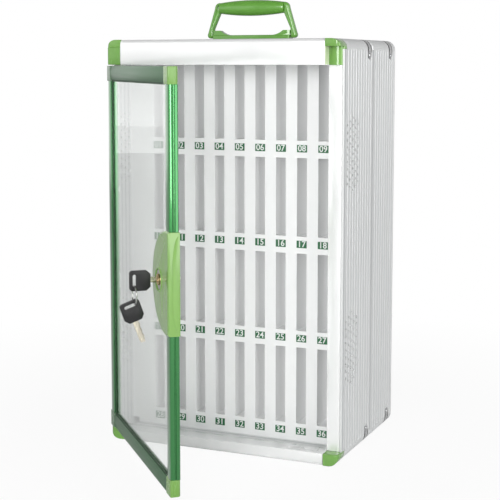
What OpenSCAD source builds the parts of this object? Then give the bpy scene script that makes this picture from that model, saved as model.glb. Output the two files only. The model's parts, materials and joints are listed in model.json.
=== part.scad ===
// Lockable storage case for cell phones: ribbed aluminium shell, four rows of upright
// slots behind a glazed door, corner caps, a carry handle and a cam lock with its keys.
// Millimetres. X to the right, Y to the back, Z up. The origin is the middle of the base.

/* [Case] */
// Width of the case over the side panels
case_w = 270; // [240:1:320]
// Depth of the case from the face rails to the back edge
case_d = 188; // [176:1:240]
// Height of the case without the handle
case_h = 445; // [400:1:520]
// Outer radius of the long rounded edges that run front to back
edge_r = 11; // [8:0.5:14]
// Wall of the ribbed side panels and of the rounded edge profiles
side_t = 2.2; // [1.8:0.1:3]
// Height of the hollow top and bottom planks
plank_t = 6; // [5:0.5:8]
// Wall round the chambers of the planks
plank_wall = 1.4; // [1.2:0.1:2]
// Depth of the front ring of panels, measured from the face rails
front_ring_d = 104.5; // [95:0.5:115]
// Gap between the front ring and the rear ring
seam_gap = 1; // [0.6:0.1:2]
// Distance from one flute of the panels to the next
rib_pitch = 8.4; // [7:0.1:11]
// Depth of a flute
rib_depth = 0.8; // [0.4:0.1:1]
// Radius of a flute
rib_r = 2.6; // [2:0.1:3.2]
// Distance of the first flute behind the face rails
first_flute = 23.6; // [23.4:0.1:25]
// Thickness of the back sheet
back_t = 1.5; // [1:0.1:3]
// Distance that the back sheet is set in from the back edge
back_inset = 1.5; // [0.5:0.1:4]

/* [Vents] */
// Diameter of one vent hole
vent_d = 4; // [2.5:0.1:5]
// Height of a vent patch
vent_h = 88; // [60:1:110]
// Height from one vent hole to the next in a column
vent_pitch = 7.6; // [6:0.1:11]
// Columns of holes in a patch, one to a flute
vent_columns = 5; // [3:1:6]
// Distance of each patch's centre above or below the middle of the case
vent_offset = 103; // [80:1:110]

/* [Face frame] */
// Depth of the recess that the closed door lies in
recess_d = 13; // [11:0.5:16]
// Height of the top rail
top_rail_h = 27; // [26:0.5:34]
// Height of the bottom rail
bottom_rail_h = 13; // [12:0.5:18]
// Width of the corner caps, and of the lock post behind the door
cap_w = 17; // [16:0.5:22]
// Width of the hinge post
hinge_post_w = 9.5; // [8:0.5:14]
// Wall of the posts
post_t = 2; // [1.5:0.1:2]
// Depth of the posts along the sides
post_side = 8; // [7.5:0.5:12]
// Radius of the lock post's upright edge
post_r = 2.5; // [2:0.5:5]
// Radius of the hinge post's upright edge, which the open door turns round
hinge_post_r = 6; // [4:0.5:7]
// Wall of the face rails
rail_wall = 2; // [1.5:0.1:2.5]
// Radius along the rails' outer front edge
rail_r = 4.5; // [3:0.5:5]
// Radius of the caps' upright front edge
cap_r = 5; // [3:0.5:6]
// Height of the solid hood over the recess in a top cap
hood_h = 8; // [6:0.5:10]
// Thickness of the leg of a top cap, in the recess
leg_t = 2; // [1.5:0.1:3]
// Length of the tongue that a cap pushes into a rail
tongue_l = 12; // [6:1:20]
// Clearance round such a tongue
tongue_gap = 0.2; // [0.1:0.05:0.4]

/* [Corner clips] */
// Thickness of a corner clip
clip_t = 1; // [0.8:0.1:1.2]
// Width of a clip's strap
clip_w = 14; // [10:0.5:16]
// Radius of the round end of a clip
clip_pad_r = 4.5; // [4:0.5:5]
// Distance from the case's corner to the rivet
clip_reach = 17; // [16:0.5:20]
// Radius of a rivet head
rivet_r = 2.4; // [1.5:0.1:3]
// Radius of a rivet's shank
rivet_shank_r = 1.3; // [1:0.1:1.4]
// Height of a rivet head
rivet_h = 1.1; // [0.8:0.1:1.4]
// Distance of a clip's centre from the end of its ring
clip_inset = 9.5; // [9:0.5:16]
// Width of the groove where the two rings meet, along the rounded edges
seam_groove_w = 5.2; // [3:0.2:7]
// Depth of that groove
seam_groove_d = 1.8; // [0.8:0.1:2]

/* [Phone slots] */
// Number of slots in a row
columns = 9; // [4:1:10]
// Number of rows
rows = 4; // [2:1:4]
// Distance from one slot to the next
slot_pitch = 24.4; // [22:0.1:26]
// Width of a slot
slot_w = 11.5; // [9:0.5:14]
// Height of the strip between two rows, with the labels
header_h = 18.5; // [14:0.1:24]
// Height of the strip above the top row
top_header_h = 16.9; // [8:0.1:30]
// Height of the lowest row's slots above the base
first_row_z = 25.4; // [24:0.1:30]
// Distance of the slot fronts behind the face rails
tray_recess = 54; // [40:1:70]
// Gap between the divider channels and the back sheet
channel_gap = 3; // [1:0.5:40]
// Thickness of the divider channels, shelves and brackets
tray_t = 1.6; // [1.2:0.1:2.5]
// Width of the bracket at each side of the slots
bracket_w = 7.5; // [5:0.5:12]
// Depth of such a bracket along the side panel
bracket_d = 15; // [8:1:24]
// Width of a number label
label_w = 11.6; // [8:0.1:14]
// Height of a number label
label_h = 8; // [6:0.5:10]
// Thickness of a number label
label_t = 0.4; // [0.2:0.1:1]
// Distance of a label below its slot
label_drop = 4.3; // [2:0.1:6]

/* [Door] */
// Angle that the door stands open in the rest position
door_open = 48; // [0:1:90]
// Thickness of the door's frame at its crown
door_t = 10; // [9.5:0.5:12]
// Width of the door's frame mouldings
frame_w = 15; // [14:0.5:20]
// Width of the door's corner pieces
corner_w = 16.5; // [16:0.5:24]
// Radius of the crowned outer face of the mouldings
crown_r = 30; // [20:1:60]
// How far the corner pieces stand proud of the mouldings
corner_proud = 0.3; // [0:0.1:0.5]
// Clearance above and below the closed door
door_gap = 1; // [0.6:0.1:2]
// Gap between the closed door and the posts
door_seat = 0.5; // [0.3:0.1:1]
// Strip of the lock post that the closed door leaves bare
door_reveal = 10.5; // [7:0.5:12]
// Thickness of the glazing
pane_t = 3; // [2:0.5:4]
// Depth that the glazing goes into the frame
pane_bite = 5; // [3:0.5:6]
// Distance of the glazing from the door's inner face
pane_y = 4; // [3.5:0.5:5]
// Clearance at each face of the glazing
pane_gap = 0.2; // [0.1:0.05:0.3]
// Width of the glazing bead that shows
bead_w = 2; // [1:0.5:3]
// Thickness of the glazing bead
bead_t = 1; // [0.6:0.1:1.5]

/* [Hinge] */
// Radius that the door turns on, and of its rounded inner edge
hinge_r = 3.5; // [3.5:0.5:5]
// Radius of the hinge pins
pin_r = 1.5; // [1:0.1:2]
// Length of pin in the door
pin_in_door = 9; // [5:0.5:14]
// Length of pin in the case
pin_in_case = 9; // [5:0.5:10]
// Running clearance of a pin in its hole
pin_play = 0.06; // [0.02:0.01:0.1]
// Width of the hinge block in the top cap's recess
block_w = 16.5; // [10:0.5:16.5]
// Radius of the hinge block's upright edge
block_r = 4; // [1:0.5:5]
// Radius of the thrust washer under the door
washer_r = 3.4; // [2.5:0.1:3.5]

/* [Lock] */
// Height of the lock above the base
lock_z = 216.5; // [190:0.5:240]
// Distance of the lock from the door's free edge
lock_x = 33; // [30:0.5:35]
// Height of the centre of the lock housing
housing_z = 216.5; // [190:0.5:240]
// Height of the half-moon lock housing along the door's edge
housing_h = 97.6; // [80:0.2:120]
// Width of the lock housing
housing_w = 58; // [50:0.5:62]
// Thickness of the housing over the door's frame
housing_skin = 1.6; // [1.2:0.1:3]
// Radius of the housing's outer edges
housing_r = 2; // [1:0.5:2.5]
// Thickness of the housing where it wraps the door's edge
wrap_t = 1.5; // [1:0.1:2.5]
// Depth of the dish round the lock, below the housing's face
dish_depth = 1.5; // [1:0.1:2.5]
// Radius of the raised collar round the dish
collar_r = 12; // [11.8:0.1:13]
// Height of that collar
collar_h = 0.9; // [0.4:0.1:1.5]
// Radius of the dish, at its floor
dish_r = 9.8; // [9.6:0.1:11]
// Extra radius of the dish at its mouth
dish_flare = 0.8; // [0.4:0.1:1.2]
// Radius of the lock's body
barrel_r = 8; // [7:0.5:8.5]
// Radius of the lock's flange
flange_r = 9.4; // [9:0.1:9.6]
// Thickness of that flange
flange_t = 1.6; // [1:0.1:2]
// How far the plug stands proud of the flange
plug_proud = 1.2; // [0.3:0.1:2]
// Radius of the plug that turns
plug_r = 5.5; // [5:0.1:6]
// Length of the lock's body behind the door
barrel_tail = 5.4; // [5:0.1:7]
// Width across the flats of the lock nut
nut_flats = 20; // [18.5:0.5:21]
// Thickness of the lock nut
nut_t = 3; // [2:0.5:4]
// Length of the cam from the lock's axis
cam_l = 31; // [29:0.5:33]
// Width of the cam
cam_w = 9; // [8:0.5:11]
// Thickness of the cam
cam_t = 1.8; // [1.2:0.1:2.5]

/* [Keys] */
// Thickness of a key's blade
blade_t = 2; // [1.6:0.1:2.4]
// Height of a key's blade
blade_h = 7.4; // [6:0.1:8]
// Length of blade in the lock
blade_in = 14.5; // [12:0.5:15]
// Length of blade that shows between the lock and the key's head
blade_out = 7; // [5:0.2:10]
// Clearance round the blade in the plug
blade_play = 0.15; // [0.1:0.05:0.3]
// Length of a key's head
bow_l = 20; // [18:0.5:24]
// Height of a key's head
bow_h = 19.4; // [18:0.2:24]
// Thickness of a key's head
bow_t = 3.6; // [3:0.1:4.5]
// Length of the slot in the head
bow_slot_l = 12; // [9:0.5:13]
// Width of the slot in the head
bow_slot_w = 3.6; // [3.4:0.1:4]
// Width of the bar between that slot and the head's end
bow_bar = 2.8; // [1.6:0.1:3.4]
// Middle radius of the key ring
ring_r = 8.6; // [8:0.1:12]
// Radius of the key ring's wire
wire_r = 0.8; // [0.5:0.1:0.9]
// Clearance between the ring and the keys
ring_play = 0.5; // [0.4:0.1:0.8]
// Tilt of the hanging spare key
spare_tilt = 20; // [0:1:25]

/* [Handle] */
// Distance of the handle's centre line in front of the gap between the rings
handle_back = 15.5; // [12:0.5:50]
// Half the width of the handle over its legs
handle_half = 53.7; // [50:0.1:75]
// Height of the top of the grip above the case
handle_rise = 44.5; // [40:0.5:60]
// Radius of the grip at its middle
grip_r = 8.8; // [7.6:0.1:10]
// Radius of the grip at its ends
grip_end_r = 6; // [5:0.1:7]
// Thickness of the legs, front to back
leg_y = 8; // [8:0.2:12]
// Width of a leg at its foot
leg_foot_w = 7.4; // [7.4:0.2:12]
// Distance that each leg leans inwards to the grip
leg_lean = 11.4; // [4:0.2:12]
// Clearance between the case and the feet of the legs as they turn
foot_gap = 0.5; // [0.4:0.1:1]
// Height of the base bar
base_h = 5.8; // [4:0.2:6]
// Width of the base bar, front to back
base_y = 13; // [10:0.5:13]
// Height of the ears above the pivots
ear_h = 5; // [3.5:0.5:6]
// Length of an ear's slope
ear_slope = 14; // [8:1:20]
// Radius of the handle's pivot pins
handle_pin_r = 1.9; // [1.5:0.1:2.4]

/* [Hidden] */
$fn = 48;
eps = 0.02;

// planes of the case
half_w = case_w / 2;
y_rail = -case_d / 2;
y_post = y_rail + recess_d;
y_back = case_d / 2;
y_seam = y_rail + front_ring_d;
y_rear = y_seam + seam_gap;
y_side = y_post + post_side;
z_low = edge_r;
z_high = case_h - edge_r;
half_in = half_w - side_t;
half_plank = half_w - edge_r;
rail_end = half_w - cap_w;
z_rail = case_h - top_rail_h;

flute_land = 0.4;
flute_half = sqrt(pow(rib_r, 2) - pow(rib_r - rib_depth, 2)) + flute_land;
rear_clip_gap = 5;
clip_centres = [y_seam - clip_inset, y_back - back_inset - back_t - clip_inset - rear_clip_gap];
vent_taper = 1.6;

// planes of the slots
y_tray = y_rail + tray_recess;
slot_depth = y_back - back_inset - back_t - channel_gap - y_tray;
half_tray = half_in - bracket_w;
z_floor = plank_t;
z_ceiling = case_h - plank_t;
slots_half = (columns - 1) / 2 * slot_pitch + slot_w / 2;
slot_h = (z_ceiling - top_header_h - first_row_z - (rows - 1) * header_h) / rows;
row_pitch = slot_h + header_h;

// planes of the closed door
door_x0 = -half_w;
door_x1 = half_w - door_reveal;
door_z0 = bottom_rail_h + door_gap;
door_z1 = z_rail - door_gap;
y_door = y_post - door_seat;
pivot_x = door_x0 + hinge_r;
pivot_y = y_door - hinge_r;
pane_in = frame_w - pane_bite;
pin_end_gap = 0.3;
corner_edge_r = 1.5;

// section of the door's mouldings
moulding_wall = 2.2;
crown_drop = 1;
chamber_w = 6;
chamber_h = door_t - 2 * moulding_wall - crown_drop;
edge_groove_r = 0.8;
edge_groove_y = hinge_r + 1.4;

// lock
housing_top = door_t + housing_skin;
lock_floor = housing_top - dish_depth;
barrel_play = 0.05;
barrel_gap = 0.4;
nut_gap = 0.2;
plug_play = 0.06;
outline_arc = (pow(housing_h / 2, 2) + pow(housing_w, 2)) / (2 * housing_w);
plug_face = lock_floor + flange_t + plug_proud;
cam_y = -barrel_tail - nut_gap;
stub_r = 3;
stub_l = 1.6;
cam_boss_r = 6.5;
screw_r = 1.3;
screw_in = 1.5;
screw_head_r = 4;
screw_head_t = 1.5;
far = 60;

// keys
bow_y = plug_face + blade_out;
bow_slot_y = bow_y + bow_l - bow_bar - bow_slot_w / 2;
bow_corner_r = 3;
bow_chamfer = 4;
bow_neck_h = 12.5;
blade_in_bow = 8;
ring_y = bow_slot_y;
ring_top_z = lock_z - bow_slot_l / 2 + wire_r + ring_play;
ring_z = ring_top_z - ring_r;
hang_y = bow_slot_w / 2 - wire_r - ring_play;
hang_z = bow_slot_l / 2 - wire_r - ring_play;
spare_turn = 90 - spare_tilt;

// handle
handle_y = y_seam - handle_back;
foot_r = leg_foot_w / 2;
pivot_h = sqrt(pow(foot_r, 2) + pow(leg_y / 2, 2)) + foot_gap;
z_pivot = case_h + pivot_h;
z_grip = case_h + handle_rise - grip_r;
foot_x = handle_half - foot_r;
leg_gap = 0.3;
base_half = handle_half - leg_foot_w - leg_gap;
shoulder_x = foot_x - leg_lean;
grip_arc = (pow(shoulder_x, 2) + pow(grip_r - grip_end_r, 2)) / (2 * (grip_r - grip_end_r));
ear_y = 8;
ear_w = 8;
ear_arc = (pow(ear_slope, 2) + pow(pivot_h + ear_h - base_h, 2)) / (2 * (pivot_h + ear_h - base_h));
z_leg_bend = z_pivot + max(ear_h, base_y / 2) + leg_gap;
handle_play = 0.06;
handle_pin_l = 6.4;

// ---- shared shapes ----

// Rectangle with four round corners, from the origin
module round_rect(w, h, r) {
    translate([r, 0]) square([w - 2 * r, h]);
    translate([0, r]) square([w, h - 2 * r]);
    for (x = [r, w - r], y = [r, h - r]) translate([x, y]) circle(r = r);
}

// Rectangle from the origin whose one corner, at [w, 0], is round
module corner_rect(w, h, r) {
    square([w - r, h]);
    translate([0, r]) square([w, h - r]);
    intersection() {
        translate([w - r, r]) circle(r = r);
        square([w, h]);
    }
}

// Extrudes an outline drawn in X and Z along Y, from y0 to y1
module along_y(y0, y1) {
    translate([0, y1, 0]) rotate([90, 0, 0]) linear_extrude(y1 - y0) children();
}

// Extrudes an outline drawn in Y and Z along X, from x0 to x1
module along_x(x0, x1) {
    translate([x0, 0, 0]) rotate([90, 0, 90]) linear_extrude(x1 - x0) children();
}

// Repeats a child at the left and the right of the case
module both_sides() {
    children();
    mirror([1, 0, 0]) children();
}

// Repeats a child at the bottom and the top of the case
module both_ends() {
    children();
    translate([0, 0, case_h]) mirror([0, 0, 1]) children();
}

// Turns the bottom right corner of the case's outline into each of the four
module four_corners() {
    both_ends() both_sides() children();
}

// ---- ribbed shell ----

// Centres of the flutes of a ring of panels, from y0 to y1
function flutes(y0, y1) = [for (k = [0 : ceil(case_d / rib_pitch)])
    let (y = y_rail + first_flute + k * rib_pitch)
        if (y > y0 + flute_half && y < y1 - flute_half) y];

// Section of a side panel, in X and Y
module side_section(y0, y1) {
    difference() {
        translate([half_in, y0]) square([side_t, y1 - y0]);
        for (y = flutes(y0, y1)) translate([half_w + rib_r - rib_depth, y]) circle(r = rib_r);
    }
}

// Vent holes in two patches, in Y and Z, one column to a flute
module vent_outline() {
    patch_flutes = flutes(y_side, y_seam);
    middle = (vent_columns - 1) / 2;
    for (patch = [-1, 1], k = [0 : vent_columns - 1]) {
        inset = pow(abs(k - middle) / (middle + 0.5), 2) * vent_pitch * vent_taper;
        half = vent_h / 2 - inset - vent_d / 2;
        count = floor(half / vent_pitch);
        stagger = k % 2 / 2;
        for (row = [-count : count - k % 2])
            translate([patch_flutes[k], case_h / 2 + patch * vent_offset + (row + stagger) * vent_pitch])
                circle(d = vent_d);
    }
}

// One side panel of the right side, with a front edge that covers the post or without
module side_panel(y0, y1, vented, covers_post) {
    difference() {
        union() {
            translate([0, 0, z_low]) linear_extrude(z_high - z_low) side_section(y0, y1);
            if (covers_post) translate([half_in, y_post, bottom_rail_h])
                cube([side_t, post_side + eps, z_high - bottom_rail_h]);
        }
        if (vented) along_x(half_in - 1, half_w + 1) vent_outline();
        both_ends() clip_pockets();
    }
}

// One hollow plank of the bottom, with its flutes underneath and chambers inside
module plank(y0, y1) {
    centres = flutes(y0, y1);
    chamber_l = rib_pitch - plank_wall;
    difference() {
        along_x(-half_plank, half_plank) difference() {
            translate([y0, 0]) square([y1 - y0, plank_t]);
            for (y = centres) {
                translate([y, rib_depth - rib_r]) circle(r = rib_r);
                translate([y - chamber_l / 2, plank_wall + rib_depth])
                    square([chamber_l, plank_t - 2 * plank_wall - rib_depth]);
            }
        }
        both_sides() clip_pockets();
    }
}

// A rounded edge profile of the bottom right corner, with its half of the seam groove
module edge_profile(y0, y1) {
    difference() {
        along_y(y0, y1) difference() {
            intersection() {
                translate([half_plank, z_low]) circle(r = edge_r);
                translate([half_plank, 0]) square([edge_r, edge_r]);
            }
            translate([half_plank, z_low]) circle(r = edge_r - side_t);
        }
        translate([half_plank, y_seam + seam_gap / 2, z_low]) rotate([90, 0, 0])
            rotate_extrude() polygon([[edge_r - seam_groove_d, 0],
                [edge_r + 1, -seam_groove_w / 2], [edge_r + 1, seam_groove_w / 2]]);
        clip_pockets();
    }
}

// Outline of a clip's flat leg, from the end of the rounding along +Y
module clip_leg() {
    reach = clip_reach - edge_r;
    polygon([[-clip_w / 2, 0], [clip_w / 2, 0], [clip_pad_r, reach], [-clip_pad_r, reach]]);
    translate([0, reach]) circle(r = clip_pad_r);
}

// One clip of the bottom right corner, proud of the shell by grow
module clip_shape(grow) {
    translate([half_plank, 0, z_low]) {
        along_y(-clip_w / 2, clip_w / 2) intersection() {
            difference() {
                circle(r = edge_r + grow);
                circle(r = edge_r - clip_t);
            }
            translate([0, -edge_r - grow]) square([edge_r + grow, edge_r + grow]);
        }
        translate([edge_r - clip_t, 0, 0]) rotate([90, 0, 90]) linear_extrude(clip_t + grow) clip_leg();
        translate([0, 0, -edge_r - grow]) rotate(90) linear_extrude(clip_t + grow) clip_leg();
    }
}

// Pockets for the clips in the shell
module clip_pockets() {
    for (y = clip_centres) translate([0, y, 0]) clip_shape(1);
}

// Places a child on the side leg of every clip, its axis outwards
module on_clip_sides() {
    four_corners() for (y = clip_centres) translate([half_w - clip_t, y, clip_reach]) rotate([0, 90, 0])
        children();
}

// ---- face frame ----

// Section of a face rail in Y and Z, its round edge below
module rail_section(h) {
    depth = y_side - y_rail;
    translate([y_rail, 0]) difference() {
        translate([depth, 0]) mirror([1, 0]) corner_rect(depth, h, rail_r);
        rail_chamber(h, 0);
    }
}

// Chamber of a face rail, shrunk by a clearance
module rail_chamber(h, gap) {
    depth = y_side - y_rail - rail_wall;
    low = rail_r / 2 + gap;
    translate([rail_r + gap, low]) square([depth - rail_r - 2 * gap, h - rail_wall - low - gap]);
}

// A bottom face rail of height h
module face_rail(h) {
    along_x(-rail_end, rail_end) rail_section(h);
}

// A right hand corner cap of height h, its rounded edge below
module cap_body(h) {
    depth = y_side - y_rail;
    intersection() {
        along_y(y_rail, y_side) translate([rail_end, 0]) corner_rect(cap_w, h, edge_r);
        translate([rail_end, y_rail, 0]) linear_extrude(h) corner_rect(cap_w, depth, cap_r);
    }
    along_x(rail_end - tongue_l, rail_end + eps) translate([y_rail, 0]) rail_chamber(h, tongue_gap);
}

// A top cap, upside down: the hood is at z 0, the leg stands behind the recess, inside
// the side panel's front edge where that covers the post
module top_cap(covered) {
    difference() {
        cap_body(top_rail_h);
        translate([rail_end, y_rail - 1, hood_h]) cube([cap_w + 1, recess_d + 1, top_rail_h]);
        translate([rail_end + leg_t, y_post + leg_t, plank_t])
            cube([cap_w - leg_t - post_t - side_t, post_side, top_rail_h]);
        if (covered) translate([half_in, y_post, edge_r]) cube([side_t + 1, post_side + 1, top_rail_h]);
    }
}

// The outline of a post of width w and edge radius r, in X and Y, that ends at x1
module post_section(x1, w, r) {
    translate([x1 - w, y_post]) difference() {
        corner_rect(w, post_side, r);
        translate([-1, post_t]) corner_rect(w - post_t + 1, post_side, r - post_t);
    }
}

// A post of the right side
module post(x1, w, r) {
    translate([0, 0, bottom_rail_h]) linear_extrude(z_rail - bottom_rail_h) post_section(x1, w, r);
}

module top_rail() color("#eef0f0") translate([0, 0, case_h]) mirror([0, 0, 1]) face_rail(top_rail_h);

module bottom_rail() color("#dfe2e2") face_rail(bottom_rail_h);

module lock_post() color("#e6e8e8") post(half_in, cap_w - side_t, post_r);

module hinge_post() color("#e6e8e8") mirror([1, 0, 0])
    post(half_w, hinge_post_w, hinge_post_r);

module cap_top_right() color("#7ea956") translate([0, 0, case_h]) mirror([0, 0, 1]) top_cap(true);

module cap_top_left() color("#7ea956") mirror([1, 0, 0]) translate([0, 0, case_h]) mirror([0, 0, 1])
    top_cap(false);

module cap_bottom_right() color("#7ea956") cap_body(bottom_rail_h);

module cap_bottom_left() color("#7ea956") difference() {
    mirror([1, 0, 0]) cap_body(bottom_rail_h);
    translate([pivot_x, pivot_y, bottom_rail_h - pin_in_case]) cylinder(r = pin_r, h = far);
}

// ---- shell panels ----

module side_right_front() color("#c9cfd2") side_panel(y_side, y_seam, true, true);

module side_right_rear() color("#c9cfd2") side_panel(y_rear, y_back, false, false);

module side_left_front() color("#c9cfd2") mirror([1, 0, 0]) side_panel(y_side, y_seam, true, false);

module side_left_rear() color("#c9cfd2") mirror([1, 0, 0]) side_panel(y_rear, y_back, false, false);

module bottom_front() color("#c9cfd2") plank(y_side, y_seam);

module bottom_rear() color("#c9cfd2") plank(y_rear, y_back);

module top_front() color("#c9cfd2") translate([0, 0, case_h]) mirror([0, 0, 1]) plank(y_side, y_seam);

module top_rear() color("#c9cfd2") translate([0, 0, case_h]) mirror([0, 0, 1]) plank(y_rear, y_back);

module edge_profiles_front() color("#d3d7d9") four_corners() edge_profile(y_side, y_seam);

module edge_profiles_rear() color("#d3d7d9") four_corners() edge_profile(y_rear, y_back);

module back_sheet() color("#c4c9cc")
    along_y(y_back - back_inset - back_t, y_back - back_inset) difference() {
        translate([-half_in, side_t]) round_rect(2 * half_in, case_h - 2 * side_t, edge_r - side_t);
        for (z = [0, z_ceiling]) translate([-half_plank, z]) square([2 * half_plank, plank_t]);
    }

module corner_clips() color("#b9bec2") difference() {
    four_corners() for (y = clip_centres) translate([0, y, 0]) clip_shape(0);
    on_clip_sides() translate([0, 0, -1]) cylinder(r = rivet_shank_r, h = clip_t + 2);
}

module clip_rivets() color("#dadde0") on_clip_sides() {
    cap_r2 = (pow(rivet_r, 2) + pow(rivet_h, 2)) / (2 * rivet_h);
    cylinder(r = rivet_shank_r, h = clip_t + rivet_h / 2);
    intersection() {
        translate([0, 0, clip_t + rivet_h - cap_r2]) sphere(r = cap_r2);
        translate([0, 0, clip_t]) cylinder(r = rivet_r + 1, h = rivet_h + 1);
    }
}

// ---- phone slots ----

// Left edge of the slot in each column, and the floor of each row
function slot_x(k) = (k - (columns - 1) / 2) * slot_pitch - slot_w / 2;
function slot_z(row) = first_row_z + row * row_pitch;

// A channel in X and Y, from x0 to x1, open at the back
module channel_section(x0, x1) {
    difference() {
        translate([x0, y_tray]) square([x1 - x0, slot_depth]);
        translate([x0 + tray_t, y_tray + tray_t]) square([x1 - x0 - 2 * tray_t, slot_depth]);
    }
}

module divider_channels() color("#f2f3f3") translate([0, 0, z_floor])
    linear_extrude(z_ceiling - z_floor) {
        for (k = [0 : columns - 2]) channel_section(slot_x(k) + slot_w, slot_x(k + 1));
        both_sides() channel_section(slots_half, half_tray);
    }

module slot_shelves() color("#e9eaea") for (k = [0 : columns - 1], row = [0 : rows - 1])
    translate([slot_x(k), y_tray + tray_t, slot_z(row) - tray_t])
        cube([slot_w, slot_depth - tray_t, tray_t]);

module header_lips() color("#f2f3f3") for (k = [0 : columns - 1], row = [0 : rows]) {
    below = row == 0 ? z_floor : slot_z(row - 1) + slot_h;
    above = row == rows ? z_ceiling : slot_z(row);
    translate([slot_x(k), y_tray, below]) cube([slot_w, tray_t, above - below]);
}

module number_labels() color("#2f6b45") for (k = [0 : columns - 1], row = [0 : rows - 1])
    translate([slot_x(k) + (slot_w - label_w) / 2, y_tray - label_t, slot_z(row) - label_drop - label_h])
        cube([label_w, label_t, label_h]);

module tray_brackets() color("#f2f3f3") both_sides() translate([0, 0, z_low])
    linear_extrude(z_high - z_low) {
        translate([half_tray, y_tray]) square([bracket_w, tray_t]);
        translate([half_in - tray_t, y_tray]) square([tray_t, bracket_d]);
    }

// ---- hinge ----

module hinge_block() color("#4f8f3a") difference() {
    mirror([1, 0, 0]) translate([half_w - block_w, y_rail, z_rail])
        linear_extrude(top_rail_h - hood_h) corner_rect(block_w, recess_d, block_r);
    translate([pivot_x, pivot_y, z_rail - 1]) cylinder(r = pin_r, h = pin_in_case + 1);
}

module hinge_pins() color("#b8bcc0") translate([pivot_x, pivot_y, 0]) {
    for (z = [door_z1 - pin_in_door, bottom_rail_h - pin_in_case])
        translate([0, 0, z]) cylinder(r = pin_r, h = pin_in_door + door_gap + pin_in_case);
}

module thrust_washer() color("#e8e8e4") translate([pivot_x, pivot_y, bottom_rail_h]) difference() {
    cylinder(r = washer_r, h = door_gap);
    translate([0, 0, -1]) cylinder(r = pin_r, h = door_gap + 2);
}

// ---- handle ----

module handle_base() color("#82b163") translate([0, handle_y, case_h]) difference() {
    union() {
        translate([-base_half, -base_y / 2, 0]) cube([2 * base_half, base_y, base_h]);
        both_sides() along_y(-ear_y / 2, ear_y / 2) difference() {
            translate([base_half - ear_w - ear_slope, base_h - eps])
                square([ear_w + ear_slope, pivot_h + ear_h - base_h + eps]);
            translate([base_half - ear_w - ear_slope, base_h + ear_arc]) circle(r = ear_arc);
        }
    }
    both_sides() along_x(base_half - handle_pin_l, base_half + 1) translate([0, pivot_h])
        circle(r = handle_pin_r);
}

module handle_pins() color("#b8bcc0") translate([0, handle_y, z_pivot]) both_sides()
    along_x(base_half - handle_pin_l, base_half + handle_pin_l) circle(r = handle_pin_r);

module handle_grip() color("#8fbe70") translate([0, handle_y, z_grip]) rotate([0, 90, 0])
    rotate_extrude($fn = 72) intersection() {
        translate([grip_r - grip_arc, 0]) circle(r = grip_arc, $fn = 1440);
        translate([0, -shoulder_x]) square([grip_r, 2 * shoulder_x]);
    }

module handle_legs() color("#8fbe70") translate([0, handle_y, 0]) both_sides() difference() {
    along_y(-leg_y / 2, leg_y / 2) {
        polygon([[foot_x - foot_r, z_pivot], [foot_x + foot_r, z_pivot],
            [shoulder_x + grip_end_r, z_grip], [shoulder_x, z_grip],
            [shoulder_x, z_grip - grip_end_r], [foot_x - foot_r, z_leg_bend]]);
        translate([foot_x, z_pivot]) circle(r = foot_r);
        intersection() {
            translate([shoulder_x, z_grip]) circle(r = grip_end_r);
            translate([shoulder_x, 0]) square([far, z_grip + far]);
        }
    }
    along_x(foot_x - far, base_half + handle_pin_l + leg_gap) translate([0, z_pivot])
        circle(r = handle_pin_r + handle_play);
}

// ---- door ----

door_w = door_x1 - door_x0;
door_h = door_z1 - door_z0;
lock_a = door_w - lock_x;

// Stands a child on the open door: x from the hinge edge, y outwards from the inner face
module on_door() {
    translate([pivot_x, pivot_y, 0]) rotate(-door_open) translate([-hinge_r, hinge_r, 0])
        mirror([0, 1, 0]) children();
}

// Crowned outline of a moulding, from its outer edge at x 0 to the glazing
module moulding_outline() {
    intersection() {
        square([frame_w, door_t]);
        translate([frame_w / 2, door_t - crown_r]) circle(r = crown_r, $fn = 96);
    }
}

// Chamber of a moulding, shrunk by a clearance
module moulding_chamber(gap) {
    translate([moulding_wall + gap, moulding_wall + gap]) square([chamber_w - 2 * gap, chamber_h - 2 * gap]);
}

module moulding_profile() {
    difference() {
        moulding_outline();
        moulding_chamber(0);
        translate([pane_in, pane_y - pane_gap]) square([frame_w, pane_t + 2 * pane_gap]);
        translate([0, edge_groove_y]) circle(r = edge_groove_r);
    }
}

// A stile along the hinge edge of the door, between the corner pieces
module stile() {
    translate([0, 0, door_z0 + corner_w]) linear_extrude(door_h - 2 * corner_w) moulding_profile();
}

// A rail along the bottom edge of the door, between the corner pieces
module door_rail() {
    translate([0, 0, door_z0]) along_x(corner_w, door_w - corner_w) mirror([1, -1]) moulding_profile();
}

// A corner piece of the bottom hinge corner, with its tongues and the slot for the glazing
module door_corner() {
    depth = door_t + corner_proud;
    slot_z0 = door_z0 + pane_in;
    translate([0, 0, door_z0]) difference() {
        linear_extrude(corner_w) intersection() {
            mirror([1, 0]) translate([-corner_w, 0]) corner_rect(corner_w, depth, hinge_r);
            translate([0, depth]) mirror([0, 1]) round_rect(corner_w, 2 * depth, corner_edge_r);
        }
        translate([pane_in, pane_y - pane_gap, pane_in]) cube([corner_w, pane_t + 2 * pane_gap, corner_w]);
    }
    translate([0, 0, door_z0 + corner_w - eps]) linear_extrude(tongue_l) moulding_chamber(tongue_gap);
    translate([0, 0, door_z0]) along_x(corner_w - eps, corner_w + tongue_l) mirror([1, -1])
        moulding_chamber(tongue_gap);
}

// Hole for the hinge pin in the bottom hinge corner
module door_pin_hole() {
    translate([hinge_r, hinge_r, door_z0 - 1]) cylinder(r = pin_r + pin_play, h = pin_in_door + 1 + pin_end_gap);
}

// Turns a child of the door's bottom end into its top end
module door_top_end() {
    translate([0, 0, door_z0 + door_z1]) mirror([0, 0, 1]) children();
}

// Turns a child of the hinge edge into the lock edge
module door_lock_edge() {
    translate([door_w, 0, 0]) mirror([1, 0, 0]) children();
}

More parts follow.
